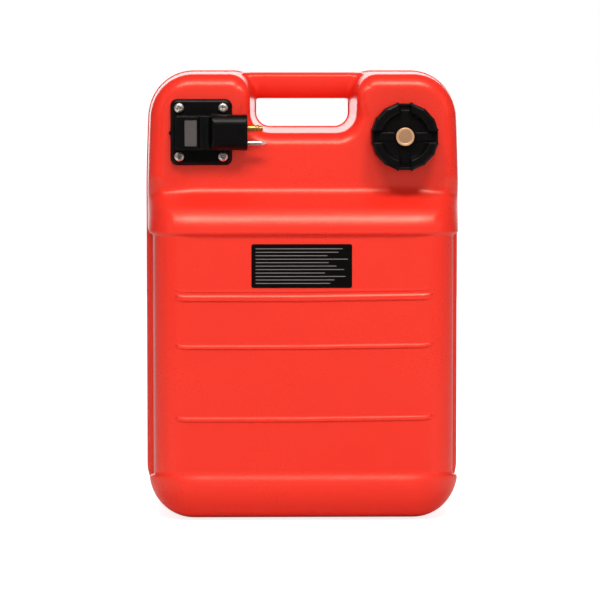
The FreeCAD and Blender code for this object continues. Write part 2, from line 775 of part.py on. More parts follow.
def float_wire():
    """The bent wire from the drum to the float, and along the float's bore."""
    lean = math.radians(wire_lean)
    pivot = Vector(gauge_x, pivot_y, gauge_z)
    start = pivot + Vector(0, math.cos(lean), -math.sin(lean)) * wire_root
    crank = pivot + Vector(0, math.cos(lean), -math.sin(lean)) * wire_crank
    corner = pivot + Vector(0, float_offset, -float_reach)
    end = Vector(float_x + float_length / 2 + float_gap + clip_thickness * 2, corner.y, corner.z)
    return bent_rod([start, crank, corner, end], wire_bend_radius, wire_radius)


def bent_rod(points, bend_radius, radius):
    """A round rod along straight runs joined by tangent arcs."""
    edges, last = [], points[0]
    for before, here, after in zip(points, points[1:], points[2:]):
        to_last, to_next = (before - here).normalize(), (after - here).normalize()
        half_angle = to_last.getAngle(to_next) / 2
        tangent = bend_radius / math.tan(half_angle)
        centre = here + (to_last + to_next).normalize() * (bend_radius / math.sin(half_angle))
        middle = centre + (here - centre).normalize() * bend_radius
        edges.append(Part.LineSegment(last, here + to_last * tangent).toShape())
        edges.append(Part.Arc(here + to_last * tangent, middle, here + to_next * tangent).toShape())
        last = here + to_next * tangent
    edges.append(Part.LineSegment(last, points[-1]).toShape())
    ring = Part.Wire(Part.makeCircle(radius, points[0], points[1] - points[0]))
    return Part.Wire(edges).makePipeShell([ring], True, False)


def float_axis():
    return Vector(float_x, pivot_y + float_offset, gauge_z - float_reach)


def indicator_drum():
    """The drum behind the window, turned by the float wire that is pressed into it."""
    half = drum_width / 2
    drum = rod_across(gauge_x - half, gauge_x + half, pivot_y, gauge_z, drum_radius)
    bore = rod_across(gauge_x - half, gauge_x + half, pivot_y, gauge_z, pivot_radius + pivot_clearance)
    return drum.cut([bore, float_wire()])


def tank_float():
    axis, half = float_axis(), float_length / 2
    body = rod_across(axis.x - half, axis.x + half, axis.y, axis.z, float_radius)
    body = body.makeFillet(float_round, [e for e in body.Edges if e.BoundBox.ZLength > float_radius
                                  and e.BoundBox.XLength < 0.01])
    return body.cut(rod_across(axis.x - half, axis.x + half, axis.y, axis.z, wire_radius))


def float_clips():
    """Push-on clips on the wire at both ends of the float."""
    axis, clips = float_axis(), []
    for side in (-1, 1):
        near = axis.x + side * (float_length / 2 + float_gap)
        x0, x1 = sorted((near, near + side * clip_thickness))
        clip = rod_across(x0, x1, axis.y, axis.z, clip_radius)
        clips.append(clip.cut(rod_across(x0, x1, axis.y, axis.z, wire_radius)))
    return Part.makeCompound(clips)


def pickup_end():
    return back_face - panel_recess - wall - strainer_floor_gap


def pickup_tube():
    end = pickup_end() - strainer_length / 2
    start = spigot_end - pickup_socket
    tube = rod_out(pickup_x, nipple_z, start, end, pickup_radius)
    return tube.cut(rod_out(pickup_x, nipple_z, start, end, pickup_bore_radius))


def strainer():
    """The slotted strainer cup on the end of the pick-up tube."""
    end = pickup_end()
    start = end - strainer_length
    tube_end = end - strainer_length / 2
    cup = rod_out(pickup_x, nipple_z, start, end, strainer_radius)
    hollow = rod_out(pickup_x, nipple_z, tube_end - strainer_grip + strainer_web, end - strainer_wall,
                     strainer_radius - strainer_wall)
    cuts = [hollow, rod_out(pickup_x, nipple_z, start, tube_end, pickup_radius)]
    for slot in range(strainer_slots // 2):
        blade = box(pickup_x - strainer_radius * 2, pickup_x + strainer_radius * 2,
                    tube_end + strainer_web, end - strainer_web,
                    nipple_z - strainer_slot_width / 2, nipple_z + strainer_slot_width / 2)
        blade.rotate(Vector(pickup_x, 0, nipple_z), Vector(0, 1, 0), 360.0 * slot / strainer_slots)
        cuts.append(blade)
    return cup.cut(cuts)


nodes = {
    "tank_shell": tank_shell,
    "label": label,
    "filler_cap": filler_cap,
    "cap_gasket": cap_gasket,
    "vent_bush": vent_bush,
    "vent_seal": vent_seal,
    "vent_screw": vent_screw,
    "sender_housing": sender_housing,
    "sender_gasket": sender_gasket,
    "gauge_lens": gauge_lens,
    "flange_screws": flange_screws,
    "screw_inserts": screw_inserts,
    "fuel_nipple": fuel_nipple,
    "locating_pin": locating_pin,
    "float_bracket": float_bracket,
    "bracket_screws": bracket_screws,
    "pivot_pin": pivot_pin,
    "indicator_drum": indicator_drum,
    "float_wire": float_wire,
    "tank_float": tank_float,
    "float_clips": float_clips,
    "pickup_tube": pickup_tube,
    "strainer": strainer,
}

os.makedirs("parts", exist_ok=True)
for name, build in nodes.items():
    shape = build()
    extent = shape.BoundBox
    print("%-16s valid %s solids %d volume %.1f  x %.1f..%.1f  y %.1f..%.1f  z %.1f..%.1f" % (
        name, shape.isValid(), len(shape.Solids), shape.Volume, extent.XMin, extent.XMax,
        extent.YMin, extent.YMax, extent.ZMin, extent.ZMax))
    shape.exportStep("parts/" + name + ".step")
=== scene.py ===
import math

import bmesh
import bpy
import numpy as np
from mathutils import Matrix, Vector


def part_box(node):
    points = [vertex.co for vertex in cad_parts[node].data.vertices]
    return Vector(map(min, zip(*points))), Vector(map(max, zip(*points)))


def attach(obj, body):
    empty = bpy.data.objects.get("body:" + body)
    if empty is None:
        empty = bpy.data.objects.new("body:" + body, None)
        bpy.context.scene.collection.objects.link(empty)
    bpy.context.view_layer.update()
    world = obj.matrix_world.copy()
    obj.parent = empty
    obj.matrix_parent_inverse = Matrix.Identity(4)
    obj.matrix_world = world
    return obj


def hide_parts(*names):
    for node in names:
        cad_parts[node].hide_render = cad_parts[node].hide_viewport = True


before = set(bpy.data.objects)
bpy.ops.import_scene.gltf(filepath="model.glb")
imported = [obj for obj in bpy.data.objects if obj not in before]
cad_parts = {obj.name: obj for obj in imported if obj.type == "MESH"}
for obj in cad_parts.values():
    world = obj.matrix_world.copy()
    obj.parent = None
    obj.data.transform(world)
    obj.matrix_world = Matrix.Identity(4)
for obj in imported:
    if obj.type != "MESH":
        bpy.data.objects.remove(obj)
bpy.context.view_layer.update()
mm = 0.001
print("frame loaded:", len(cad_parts), "pieces")


# shader helpers

class Value:
    # a node's output; plain arithmetic on it adds Math nodes
    def __init__(self, shader, socket):
        self.shader = shader
        self.socket = socket

    def combine(self, operation, other=0.0, swapped=False):
        first, second = (other, self) if swapped else (self, other)
        return self.shader.node("ShaderNodeMath", {"operation": operation}, {0: first, 1: second})

    def __add__(self, other):
        return self.combine("ADD", other)

    def __radd__(self, other):
        return self.combine("ADD", other, True)

    def __sub__(self, other):
        return self.combine("SUBTRACT", other)

    def __rsub__(self, other):
        return self.combine("SUBTRACT", other, True)

    def __mul__(self, other):
        return self.combine("MULTIPLY", other)

    def __rmul__(self, other):
        return self.combine("MULTIPLY", other, True)

    def __truediv__(self, other):
        return self.combine("DIVIDE", other)

    def magnitude(self):
        return self.combine("ABSOLUTE")

    def larger(self, other):
        return self.combine("MAXIMUM", other)

    def above(self, edge, soft):
        # 0 below the edge, 1 above it, a straight ramp of width soft around it
        ramp = (self - (edge - soft / 2)) / soft
        return ramp.larger(0.0).combine("MINIMUM", 1.0)

    def swing(self, width):
        # a pattern from 0 to 1 as a deviation of half the width either way
        return (self - 0.5) * width


class Shader:
    # the nodes of a new material, or of the tree given
    def __init__(self, name=None, tree=None):
        if tree is None:
            self.material = bpy.data.materials.new(name)
            self.material.use_nodes = True
            tree = self.material.node_tree
        self.tree = tree
        self.tree.nodes.clear()

    def node(self, kind, settings=None, inputs=None, output=0):
        made = self.tree.nodes.new(kind)
        for key, setting in (settings or {}).items():
            setattr(made, key, setting)
        for key, given in (inputs or {}).items():
            if isinstance(given, Value):
                self.tree.links.new(given.socket, made.inputs[key])
            elif given is not None:
                made.inputs[key].default_value = given
        return Value(self, made.outputs[output]) if len(made.outputs) else None

    def place(self, centre=(0, 0, 0), turn=(0, 0, 0)):
        # object coordinates measured from centre, then turned
        here = self.node("ShaderNodeTexCoord", output="Object")
        moved = self.node("ShaderNodeVectorMath", {"operation": "SUBTRACT"},
                          {0: here, 1: tuple(centre)})
        return self.node("ShaderNodeMapping", {}, {"Vector": moved, "Rotation": turn})

    def parts(self, vector):
        # a vector's x, y and z
        made = self.tree.nodes.new("ShaderNodeSeparateXYZ")
        self.tree.links.new(vector.socket, made.inputs[0])
        return [Value(self, made.outputs[i]) for i in range(3)]

    def rays(self):
        # 1 for rays from the camera, from mirror-like surfaces and through clear ones
        made = self.tree.nodes.new("ShaderNodeLightPath")
        kinds = ("Is Camera Ray", "Is Glossy Ray", "Is Transmission Ray")
        return [Value(self, made.outputs[kind]) for kind in kinds]

    def noise(self, place, scale, detail=2.0, roughness=0.5, kind="ShaderNodeTexNoise"):
        return self.node(kind, {}, {
            "Vector": place, "Scale": scale, "Detail": detail, "Roughness": roughness})

    def mix(self, factor, first, second):
        ends = [end if isinstance(end, Value) else (*end, 1.0) for end in (first, second)]
        return self.node("ShaderNodeMix", {"data_type": "RGBA"},
                         {0: factor, 6: ends[0], 7: ends[1]}, output=2)

    def bump(self, height, distance, normal=None):
        return self.node("ShaderNodeBump", {}, {
            "Height": height, "Distance": distance, "Strength": 1.0, "Normal": normal})

    def finish(self, **sockets):
        # a Principled surface with these sockets, and the output
        names = {"colour": "Base Color", "roughness": "Roughness", "metallic": "Metallic",
                 "normal": "Normal", "specular": "Specular IOR Level", "tint": "Specular Tint"}
        inputs = {}
        for key, given in sockets.items():
            plain = key in ("colour", "tint") and not isinstance(given, Value)
            inputs[names[key]] = (*given, 1.0) if plain else given
        surface = self.node("ShaderNodeBsdfPrincipled", {}, inputs)
        self.node("ShaderNodeOutputMaterial", {}, {"Surface": surface})
        return self.material


def srgb(red, green, blue):
    # a colour in screen values, 0 to 255, as the linear numbers that Blender takes
    def linear(value):
        value /= 255
        return value / 12.92 if value <= 0.04045 else ((value + 0.055) / 1.055) ** 2.4
    return linear(red), linear(green), linear(blue)


# materials

redLook = {"colour": (0.92, 0.032, 0.017), "second": (0.88, 0.028, 0.016),
           "tint": (1.0, 0.9, 0.74), "roughness": 0.3, "specular": 0.5, "cloud": 11,
           "cloudSwing": 0.06, "grain": 850, "detail": 3, "grainSwing": 0.16,
           "grainDepth": 0.09 * mm, "flow": 60, "flowDepth": 0.2 * mm}
blackLook = {"colour": srgb(4, 3, 4), "second": srgb(6, 4.5, 6), "tint": (1, 1, 1),
             "roughness": 0.4, "specular": 0.22, "cloud": 90, "cloudSwing": 0.1, "grain": 1600,
             "detail": 2, "grainSwing": 0.12, "grainDepth": 0.02 * mm, "flow": None}


def moulding(name, look):
    # plastic with a fine grain, on slow waves where it has a flow, its colour a little cloudy
    shader = Shader(name)
    place = shader.place()
    cloud = shader.noise(place, look["cloud"], 3)
    grain = shader.noise(place, look["grain"], look["detail"], 0.6)
    waves = None
    if look["flow"]:
        waves = shader.bump(shader.noise(place, look["flow"]), look["flowDepth"])
    rough = look["roughness"] + grain.swing(look["grainSwing"]) + cloud.swing(look["cloudSwing"])
    return shader.finish(
        colour=shader.mix(cloud, look["colour"], look["second"]), roughness=rough,
        specular=look["specular"], tint=look["tint"],
        normal=shader.bump(grain, look["grainDepth"], waves))


def turnedBrass(name, colour, centre, across, rim=None, metallic=1.0):
    # fine turning rings round an axis through centre, and past the radius rim a paler edge
    look = {"ring": 0.35 * mm, "ringDepth": 0.004 * mm, "patch": 320, "darker": 0.8, "paler": 1.35,
            "rimSoft": 0.3 * mm, "roughness": 0.42, "patchSwing": 0.12}
    shader = Shader(name)
    turn = {"x": (0, math.pi / 2, 0), "y": (math.pi / 2, 0, 0)}[across]
    place = shader.place(centre, turn)
    x, y, z = shader.parts(place)
    radius = (x * x + y * y).combine("POWER", 0.5)
    wave = (radius * (2 * math.pi / look["ring"])).combine("SINE")
    patch = shader.noise(place, look["patch"], 3)
    paint = shader.mix(patch, colour, tuple(channel * look["darker"] for channel in colour))
    if rim is not None:
        paler = tuple(min(1.0, channel * look["paler"]) for channel in colour)
        paint = shader.mix(radius.above(rim, look["rimSoft"]), paint, paler)
    return shader.finish(colour=paint, metallic=metallic,
                         roughness=look["roughness"] + patch.swing(look["patchSwing"]),
                         normal=shader.bump(wave, look["ringDepth"]))


def plainMaterial(name, first, second, scale, roughness, swing, detail=2, depth=None,
                  kind="ShaderNodeTexNoise", **sockets):
    # one pattern varies the colour between two close ones, the roughness, and the height by depth
    shader = Shader(name)
    grain = shader.noise(shader.place(), scale, detail, kind=kind)
    height = shader.bump(grain, depth) if depth else None
    return shader.finish(colour=shader.mix(grain, first, second),
                         roughness=roughness + grain.swing(swing), normal=height, **sockets)


def labelFilm():
    # black printed film with plain, evenly spaced rules that end at different places
    low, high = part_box("label")
    half = (high - low) / 2
    look = {"ink": srgb(140, 135, 137), "film": srgb(4, 2, 3), "spacing": 2.72 * mm, "rules": 11,
            "line": 0.5 * mm, "margin": 3.3 * mm, "ragged": 9.0 * mm, "raggedTurn": 2.4,
            "soft": 0.1 * mm, "roughness": 0.4, "specular": 0.2, "grain": 900, "grainSwing": 0.1,
            "grainDepth": 0.008 * mm}
    shader = Shader("labelFilm")
    place = shader.place((low + high) / 2)
    x, y, z = shader.parts(place)
    steps = z / look["spacing"]
    number = steps.combine("ROUND")
    offset = (steps - number).magnitude() * look["spacing"]
    rule = 1 - offset.above(look["line"] / 2, look["soft"])
    short = ((number * look["raggedTurn"]).combine("SINE") + 1) * look["ragged"]
    reach = (x + short.larger(0.0)).larger(0 - x)
    inside = (1 - reach.above(half.x - look["margin"], look["soft"])) * (
        1 - z.magnitude().above(look["spacing"] * look["rules"] / 2, look["soft"]))
    grain = shader.noise(place, look["grain"])
    return shader.finish(
        colour=shader.mix(rule * inside, look["film"], look["ink"]), specular=look["specular"],
        roughness=look["roughness"] + grain.swing(look["grainSwing"]),
        normal=shader.bump(grain, look["grainDepth"]))


def drumPlastic():
    # pale drum; the part that comes to the window when the tank runs empty is red
    look = {"pale": (0.3, 0.3, 0.3), "red": (0.6, 0.05, 0.03), "redFrom": 2.2, "soft": 0.02,
            "roughness": 0.45, "grain": 800, "grainSwing": 0.1}
    low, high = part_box("indicator_drum")
    shader = Shader("drumPlastic")
    x, y, z = shader.parts(shader.place((low + high) / 2))
    angle = z.combine("ARCTAN2", y)
    grain = shader.noise(shader.place(), look["grain"])
    return shader.finish(
        colour=shader.mix(angle.above(look["redFrom"], look["soft"]), look["pale"], look["red"]),
        roughness=look["roughness"] + grain.swing(look["grainSwing"]))


# geometry helpers

def cornersOf(node):
    # a node's lowest and highest corner in mm
    low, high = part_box(node)
    return low / mm, high / mm


def middleOf(node):
    # the middle of a node's box in metres
    low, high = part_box(node)
    return (low + high) / 2


def addPiece(name, points, faces, body, material, replaced=(), normals=None):
    # a mesh piece from points in metres; where no normals are given, doubles are merged and the
    # faces turned outwards
    mesh = bpy.data.meshes.new(name)
    mesh.from_pydata(points.tolist(), [], faces.tolist())
    if normals is None:
        work = bmesh.new()
        work.from_mesh(mesh)
        bmesh.ops.remove_doubles(work, verts=work.verts, dist=0.001 * mm)
        bmesh.ops.recalc_face_normals(work, faces=work.faces)
        work.to_mesh(mesh)
        work.free()
    mesh.shade_smooth()
    if normals is not None:
        mesh.normals_split_custom_set_from_vertices(normals.tolist())
    piece = bpy.data.objects.new(name, mesh)
    bpy.context.scene.collection.objects.link(piece)
    mesh.materials.append(material)
    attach(piece, body)
    if replaced:
        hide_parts(*replaced)


def roundedPath(stops, arcSteps=5, guard=0.12):
    # a path through stops (u, v, radius): an arc at each stop that has a radius, with a guard
    # point just outside each arc so that flats stay flat when shaded
    points = []
    for i, (u, v, radius) in enumerate(stops):
        here = np.array([u, v], float)
        if radius == 0 or i in (0, len(stops) - 1):
            points.append(here)
            continue
        back = np.array(stops[i - 1][:2]) - here
        ahead = np.array(stops[i + 1][:2]) - here
        back, ahead = back / np.linalg.norm(back), ahead / np.linalg.norm(ahead)
        halfAngle = math.acos(np.clip(back @ ahead, -1, 1)) / 2
        reach = radius / math.tan(halfAngle)
        share = np.linspace(0, 1, arcSteps + 1)[:, None]
        centre = here + (back + ahead) / np.linalg.norm(back + ahead) * radius / math.sin(halfAngle)
        start, end = here + back * reach - centre, here + ahead * reach - centre
        angle = math.pi - 2 * halfAngle
        arc = (start * np.sin((1 - share) * angle) + end * np.sin(share * angle)) / math.sin(angle)
        points.append(here + back * (reach + guard))
        points.extend(centre + arc)
        points.append(here + ahead * (reach + guard))
    return np.array(points)


def revolve(profile, centre, across, steps, shape=None):
    # a profile (radius, distance) carried round an axis through centre, and its quads; shape
    # changes the radius by angle and profile, and a profile with both ends on the axis is closed
    angle = np.linspace(0, 2 * math.pi, steps, endpoint=False)[None, :]
    radius, along = profile[:, :1], profile[:, 1:]
    if shape is not None:
        radius = shape(radius, along, angle)
    u, v, w = radius * np.cos(angle), radius * np.sin(angle), along + 0 * angle
    grid = {"x": (w, u, v), "y": (u, -w, v)}[across]
    row, column = np.arange(len(profile) - 1)[:, None] * steps, np.arange(steps)[None, :]
    over = (column + 1) % steps
    quad = np.stack([row + column, row + over, row + steps + over, row + steps + column], -1)
    return np.stack(grid, -1).reshape(-1, 3) + np.array(centre), quad.reshape(-1, 4)


def spacedLines(stops, samples=20000):
    # positions along an axis whose spacing runs straight from stop to stop (position, spacing)
    places, spacings = np.array(stops, float).T
    fine = np.linspace(places[0], places[-1], samples)
    density = 1 / np.interp(fine, places, spacings)
    count = np.concatenate([[0], np.cumsum((density[1:] + density[:-1]) / 2 * np.diff(fine))])
    return np.interp(np.linspace(0, count[-1], int(round(count[-1])) + 1), count, fine)


def evenLines(low, high, spacing, before=1.3, after=2.2):
    # grid lines that run on past both ends by these parts of the spacing
    return np.arange(low - before * spacing, high + after * spacing, spacing)


def roundBoth(first, second, radius):
    # distance to what lies in both solids, their meeting edge rounded by radius
    corner = np.hypot(np.maximum(first + radius, 0), np.maximum(second + radius, 0))
    return np.minimum(-radius, np.maximum(first, second)) + corner


def roundEither(first, second, radius):
    # distance to what lies in either solid, their meeting corner filled by radius
    return -roundBoth(-first, -second, radius)


def blendEither(first, second, reach):
    # the same with a soft polynomial blend where the distances differ by less than reach
    share = np.maximum(reach - np.abs(first - second), 0) / reach
    return np.minimum(first, second) - share * share * reach / 4


def bevelBoth(first, second, bevel, edge):
    # distance to what lies in both solids, their edge cut by a flat bevel with rounded edges
    slant = (first + second + bevel) / math.sqrt(2)
    return roundBoth(roundBoth(first, slant, edge), roundBoth(second, slant, edge), edge)


def roundBox(across, up, halfAcross, halfUp, radius):
    # distance to a rectangle with rounded corners
    a = np.abs(across) - halfAcross + radius
    b = np.abs(up) - halfUp + radius
    return np.minimum(np.maximum(a, b), 0) + np.hypot(np.maximum(a, 0), np.maximum(b, 0)) - radius


def fieldSkin(field, axes, steps=4, farthest=1.0, leastSlope=0.05):
    # the surface where field is zero: one point in each grid cell that it crosses, at the mean
    # of the crossings on the cell's edges, then moved on to the surface along the slope
    grid = field(*np.meshgrid(*axes, indexing="ij"))
    cells = np.array(grid.shape) - 1
    crossings, quads = [], []
    unit = np.eye(3, dtype=int)
    for axis in range(3):
        second, third = unit[(axis + 1) % 3], unit[(axis + 2) % 3]
        near = np.take(grid, np.arange(cells[axis]), axis)
        far = np.take(grid, np.arange(1, cells[axis] + 1), axis)
        found = np.argwhere((near < 0) != (far < 0))
        low = near[tuple(found.T)]
        high = far[tuple(found.T)]
        crossing = np.stack([axes[k][found[:, k]] for k in range(3)], -1)
        step = axes[axis][found[:, axis] + 1] - axes[axis][found[:, axis]]
        crossing[:, axis] += step * low / (low - high)
        around = np.stack([found - second - third, found - third, found, found - second], 1)
        around[low >= 0] = around[low >= 0][:, ::-1]
        crossings.append(crossing)
        quads.append((around * [cells[1] * cells[2], cells[2], 1]).sum(-1))
    crossings, quads = np.concatenate(crossings), np.concatenate(quads)
    faces = np.unique(quads, return_inverse=True)[1].reshape(-1, 4)
    count = np.bincount(faces.ravel())
    points = np.stack([np.bincount(faces.ravel(), np.repeat(crossings[:, k], 4)) / count
                       for k in range(3)], -1)

    def slope(at, step=0.02):
        return np.stack([(field(*(at + step * unit[k]).T) - field(*(at - step * unit[k]).T))
                         / (2 * step) for k in range(3)], -1)
    for _ in range(steps):
        ahead = slope(points)
        steep = np.maximum((ahead ** 2).sum(-1), leastSlope)[:, None]
        move = field(*points.T)[:, None] * ahead / steep
        length = np.linalg.norm(move, axis=1)[:, None]
        points -= move * np.minimum(1, farthest / np.maximum(length, 1e-9))
    ahead = slope(points)
    return points, faces, ahead / np.linalg.norm(ahead, axis=1)[:, None]


def fieldPiece(name, field, node, spacing, body, material, replaced=None, grow=0.6):
    # a piece from its distance field, on an even grid round the box of a node, which it
    # replaces unless other nodes are given
    low, high = cornersOf(node)
    axes = [evenLines(low[k] - grow, high[k] + grow, spacing) for k in range(3)]
    points, faces, normals = fieldSkin(field, axes)
    print(name, len(faces), "faces")
    addPiece(name, points * mm, faces, body, material,
             [node] if replaced is None else replaced, normals)


# the tank

tank = {
    "wall": 3.0, "draft": 2.5, "topCorner": 35.8, "bottomCorner": 38.0,
    "lean": 2.1, "leanFrom": 262.0, "leanTo": 328.0, "leanPower": 1.5,
    "floorLift": 0.05, "floorLiftFrom": 40.0, "backEdge": 12.0, "bottomEdge": 24.0,
    "bottomEdgeTo": 30.0, "bandEdge": 20.0, "bandEdgeFrom": 60.0, "shelfEdge": 11.5,
    "shelfRecess": 26.0, "slopeTop": 260.4, "slopeBottom": 241.0, "slopeFoot": 5.0,
    "slopeNose": 13.0, "bow": 0.0035, "bowFrom": 78.0, "bowTop": 270.0, "bowFade": 12.0,
    "panelBottom": 38.2, "panelTop": 226.6, "panelRecess": 3.5, "panelSideRecess": 4.0,
    "panelEdge": 19.0, "backPanelEdge": 11.0, "rampDegrees": 60.0, "ledgeFall": 0.12,
    "flange": 8.0, "stepCrest": 2.8, "stepFoot": 1.6,
    "ribs": ((183.4, 181.6, 0.45), (179.8, 174.8, 1.15), (140.4, 136.9, 0.95), (83.4, 79.6, 1.0)),
    "ribHalfLength": 100.5, "ribEnd": 7.0, "ribLean": 29.0, "ribRound": 0.35, "ribFoot": 0.5,
    "ribRise": 1.3, "riseFrom": 50.0, "riseTo": 205.0, "riseFade": 20.0,
    "handleHalf": 37.9, "handleFloor": 310.4, "handleDraft": 4.5, "floorCorner": 12.0,
    "shoulder": 17.0, "openingEdge": 7.0, "openingFade": 10.0,
    "gripBottom": 333.9, "gripTop": 353.9, "gripDepth": 36.0, "gripRound": 4.0,
    "gripBulge": 22.0, "gripCrest": 350.0, "bulgeRound": 1.0, "gripFlare": 5.0,
    "bead": 0.8, "beadWidth": 2.0, "beadRound": 0.4, "beadFoot": 0.4,
    "gripBead": 0.45, "gripBeadWidth": 1.6, "gripBeadRound": 0.3,
}


def tankForm(x, y, z):
    # distances in mm to the blown form, negative inside: a drafted rounded outline with the
    # handle opening, closed by the front profile and the back, less the panels' recess;
    # and to the outline alone, and the height of the drafted top
    low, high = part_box("tank_shell")
    halfWidth = (high.x - low.x) / 2 / mm - tank["bead"]
    top = high.z / mm - tank["bead"]
    front, back = -low.y / mm, high.y / mm
    side, out = np.abs(x), np.abs(y)
    draft = out * math.tan(math.radians(tank["draft"]))
    radius = np.where(z > top / 2, tank["topCorner"], tank["bottomCorner"]) - draft
    climb = np.clip((z - tank["leanFrom"]) / (tank["leanTo"] - tank["leanFrom"]), 0, 1)
    lean = tank["lean"] * climb ** tank["leanPower"]
    half, height = halfWidth - draft - lean, top - draft
    lift = tank["floorLift"] * np.maximum(out - tank["floorLiftFrom"], 0)
    plain = roundBox(side, z - (height + lift) / 2, half, (height - lift) / 2, radius)
    opening = roundBox(side, tank["handleFloor"] + top - z, tank["handleHalf"], top,
                       tank["floorCorner"]) - out * math.tan(math.radians(tank["handleDraft"]))
    outline = roundBoth(plain, -opening, tank["shoulder"])

    # front profile: shelf, slope and band, seen from the side, bowed back towards the sides
    bow = tank["bow"] * np.maximum(side - tank["bowFrom"], 0) ** 2
    bow = bow * np.clip((tank["bowTop"] - z) / tank["bowFade"], 0, 1)
    shelf = -y - (front - tank["shelfRecess"]) + bow
    run, rise = tank["shelfRecess"], tank["slopeTop"] - tank["slopeBottom"]
    slope = (shelf * rise + (z - tank["slopeTop"]) * run) / math.hypot(run, rise)
    profile = blendEither(shelf, slope, tank["slopeFoot"])
    profile = -blendEither(-profile, y + front - bow, tank["slopeNose"])

    # the outline's edge is rounded by height in front, and less beside the handle opening
    heights = [tank[name] for name in ("bottomEdgeTo", "bandEdgeFrom", "slopeBottom", "slopeTop")]
    edges = [tank[name] for name in ("bottomEdge", "bandEdge", "bandEdge", "shelfEdge")]
    edge = np.where(y < 0, np.interp(z, heights, edges), tank["backEdge"])
    fade = tank["openingFade"]
    beside = np.clip((-opening - plain) / fade, 0, 1)
    beside = beside * np.clip((z - tank["handleFloor"]) / fade - 1, 0, 1)
    edge = edge + (tank["openingEdge"] - edge) * beside
    body = roundBoth(outline, np.where(y < 0, profile, y - back), edge)

    # recess of the panels, leaving the flange at the parting plane
    face = out - (front - tank["panelRecess"])
    panelEdge = np.where(y < 0, tank["panelEdge"], tank["backPanelEdge"])
    panel = roundBoth(plain + tank["panelSideRecess"], face, panelEdge)
    ramp = np.clip(face, 0, tank["panelRecess"]) * math.tan(math.radians(tank["rampDegrees"]))
    ramp = ramp + np.maximum(-face, 0) * tank["ledgeFall"]
    kept = np.maximum(tank["flange"] / 2 - out,
                      np.maximum(tank["panelBottom"] - ramp - z, z - tank["panelTop"]))
    body = roundBoth(body, roundEither(panel, -kept, tank["stepFoot"]), tank["stepCrest"])
    return np.maximum(body, -z), outline, height


def tankField(x, y, z):
    # the form joined with the ribs (a leaning upper face, a front and a square lower edge), the
    # grip and the parting bead
    body, outline, height = tankForm(x, y, z)
    front = -cornersOf("tank_shell")[0].y
    side, out = np.abs(x), np.abs(y)
    lean = math.radians(tank["ribLean"])
    proud = -y - front + tank["panelRecess"]
    fade = np.clip((tank["ribHalfLength"] - side) / tank["ribEnd"], 0, 1) ** 0.5
    for ribTop, ribBottom, ribProud in tank["ribs"]:
        upper = proud * math.cos(lean) + (z - ribTop) * math.sin(lean)
        bar = roundBoth(upper, proud - ribProud * fade, tank["ribRound"])
        bar = roundBoth(bar, ribBottom + (1 - fade) - z, tank["ribRound"])
        bar = np.maximum(bar, np.maximum(-proud - tank["wall"], side - tank["ribHalfLength"]))
        body = blendEither(body, bar, tank["ribFoot"])

    # the grip, flared where it meets the shoulders, kept below the tank's top
    gripHalf = (tank["gripTop"] - tank["gripBottom"]) / 2
    grip = roundBox(y, z - tank["gripBottom"] - gripHalf, tank["gripDepth"] / 2, gripHalf,
                    tank["gripRound"])
    bulge = np.hypot(np.maximum(out - tank["gripDepth"] / 2 + tank["gripBulge"], 0),
                     z - tank["gripCrest"]) - tank["gripBulge"]
    grip = roundBoth(grip, bulge, tank["bulgeRound"])
    grip = np.maximum(grip, side - tank["handleHalf"] - tank["shoulder"] / 2)
    body = blendEither(body, grip, tank["gripFlare"])
    body = np.maximum(body, z - height)

    bead = roundBoth(outline - tank["bead"], out - tank["beadWidth"] / 2, tank["beadRound"])
    gripBead = roundBoth(grip - tank["gripBead"], out - tank["gripBeadWidth"] / 2,
                         tank["gripBeadRound"])
    body = blendEither(body, np.minimum(bead, gripBead), tank["beadFoot"])
    return np.maximum(body, -z)


# grid lines of the tank as stops (position, spacing), finer where the form bends
tankLines = {
    "across": [(0, 5), (26, 4), (32, 2), (58, 2), (66, 4), (90, 4), (96, 1.7), (121, 1.3), (128, 1.3)],
    "deep": [(-90, 1.5), (-60, 2), (-50, 4.5), (-11, 4.5), (-6, 0.9), (-1.6, 0.5), (1.6, 0.5), (6, 0.9),
             (11, 4.5), (50, 4.5), (68, 2), (90, 1.5)],
    "bottom": [(-2, 1.5), (28, 2), (32, 1.0), (43, 1.0), (48, 4.5)],
    "top": [(220, 4), (224, 0.9), (229, 0.9), (234, 1.6), (268, 1.6), (274, 4), (296, 4), (301, 1.8),
            (358, 1.4)],
    "rib": 0.6, "panel": 4.5, "below": 1.0, "above": 1.9, "aboveDouble": 5.5, "change": 3.0,
}


def makeTankSkin(material):
    # the tank's surface; the ribs climb a little to the right, where the panels' points slide up
    half = tankLines["across"]
    across = spacedLines([(-place, gap) for place, gap in half[:0:-1]] + half)
    up = list(tankLines["bottom"])
    for ribTop, ribBottom, _ in tank["ribs"][:0:-1]:
        double = ribTop == tank["ribs"][1][0]
        lowest = ribBottom - tankLines["below"]
        highest = ribTop + tankLines["aboveDouble" if double else "above"]
        up += [(lowest - tankLines["change"], tankLines["panel"]), (lowest, tankLines["rib"]),
               (highest, tankLines["rib"]), (highest + tankLines["change"], tankLines["panel"])]
    up = spacedLines(up + tankLines["top"])
    points, faces, normals = fieldSkin(tankField, [across, spacedLines(tankLines["deep"]), up])
    x, y, z = points.T
    inside = np.clip(np.minimum(z - tank["riseFrom"], tank["riseTo"] - z) / tank["riseFade"], 0, 1)
    points[:, 2] += tank["ribRise"] * np.clip(x / tank["ribHalfLength"], 0, 1) * inside * (y < 0)
    print("tank skin:", len(points), "points", len(faces), "faces")
    addPiece("tankSkin", points * mm, faces, "tank", material, ["tank_shell"], normals)


# the cap, its neck and its vent screw

def onNeck(x, y, z):
    # height above the shelf, and the place across and up from the neck's middle
    middle = middleOf("vent_screw") / mm
    return cornersOf("sender_gasket")[1].y - y, x - middle.x, z - middle.z


